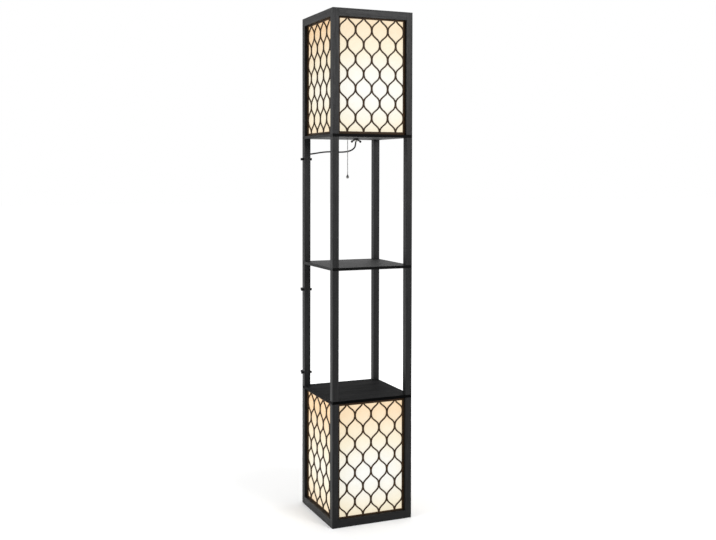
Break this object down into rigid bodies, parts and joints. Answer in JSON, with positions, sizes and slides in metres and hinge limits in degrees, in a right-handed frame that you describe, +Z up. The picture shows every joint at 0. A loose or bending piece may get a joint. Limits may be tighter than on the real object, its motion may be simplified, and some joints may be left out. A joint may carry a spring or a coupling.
{
  "type": "shelf floor lamp",
  "caption": "Tall square shelf floor lamp: a patterned trellis lantern at the floor and another at the top, with open shelf bays between them on corner posts, and a pull-chain switch.",
  "frame": {"origin": "centre of the square footprint, on the floor", "axes": "+Z up, the front faces -Y, +X to the right as seen from the front"},
  "size_m": [0.2782, 0.3773, 1.6],
  "materials": {
    "frame_wood": "satin",
    "trellis_wood": "matte",
    "diffuser_sheet": "matte",
    "lampholder_plastic": "matte",
    "bulb_glass": "satin",
    "plated_steel": "satin",
    "black_metal": "satin",
    "chain_metal": "polished",
    "lead_plastic": "satin",
    "guide_plastic": "matte"
  },
  "bodies": {
    "lamp": {"lower_lantern_post_front_left": "frame_wood", "lower_lantern_post_front_right": "frame_wood", "lower_lantern_post_back_right": "frame_wood", "lower_lantern_post_back_left": "frame_wood", "lower_tier_post_front_left": "frame_wood", "lower_tier_post_front_right": "frame_wood", "lower_tier_post_back_right": "frame_wood", "lower_tier_post_back_left": "frame_wood", "upper_tier_post_front_left": "frame_wood", "upper_tier_post_front_right": "frame_wood", "upper_tier_post_back_right": "frame_wood", "upper_tier_post_back_left": "frame_wood", "upper_lantern_post_front_left": "frame_wood", "upper_lantern_post_front_right": "frame_wood", "upper_lantern_post_back_right": "frame_wood", "upper_lantern_post_back_left": "frame_wood", "base_board": "frame_wood", "lower_shelf": "frame_wood", "middle_shelf": "frame_wood", "upper_board": "frame_wood", "bottom_rail_front": "frame_wood", "top_rail_front": "frame_wood", "bottom_rail_right": "frame_wood", "top_rail_right": "frame_wood", "bottom_rail_back": "frame_wood", "top_rail_back": "frame_wood", "bottom_rail_left": "frame_wood", "top_rail_left": "frame_wood", "lower_trellis_front": "trellis_wood", "lower_diffuser_front": "diffuser_sheet", "lower_trellis_right": "trellis_wood", "lower_diffuser_right": "diffuser_sheet", "lower_trellis_back": "trellis_wood", "lower_diffuser_back": "diffuser_sheet", "lower_trellis_left": "trellis_wood", "lower_diffuser_left": "diffuser_sheet", "upper_trellis_front": "trellis_wood", "upper_diffuser_front": "diffuser_sheet", "upper_trellis_right": "trellis_wood", "upper_diffuser_right": "diffuser_sheet", "upper_trellis_back": "trellis_wood", "upper_diffuser_back": "diffuser_sheet", "upper_trellis_left": "trellis_wood", "upper_diffuser_left": "diffuser_sheet", "upper_lampholder": "lampholder_plastic", "lower_lampholder": "lampholder_plastic", "upper_bulb": "bulb_glass", "lower_bulb": "bulb_glass", "threaded_nipples": "plated_steel", "wing_nut": "black_metal", "locknut": "plated_steel", "post_studs": "plated_steel", "mains_lead": "lead_plastic", "mains_lead_coil": "lead_plastic", "mains_plug": "lead_plastic", "cord_guides": "guide_plastic"},
    "switch_chain": {"switch_chain": "chain_metal"},
    "first_links": {"chain_first_links": "chain_metal"},
    "hanging_chain": {"hanging_chain": "chain_metal", "pull_knob": "chain_metal"}
  },
  "joints": [
    {"name": "chain_pull", "type": "slide", "parent": "lamp", "child": "switch_chain", "axis": [0, 0, -1], "range_m": [0, 0.008], "stiffness_N_per_m": 400},
    {"name": "chain_swing_side", "type": "hinge", "parent": "switch_chain", "child": "first_links", "pos_m": [-0.0296, 0, 1.2101], "axis": [0, 1, 0], "range_deg": [-25, 25]},
    {"name": "chain_swing_front", "type": "hinge", "parent": "first_links", "child": "hanging_chain", "pos_m": [-0.0296, 0, 1.2013], "axis": [1, 0, 0], "range_deg": [-25, 12]}
  ]
}
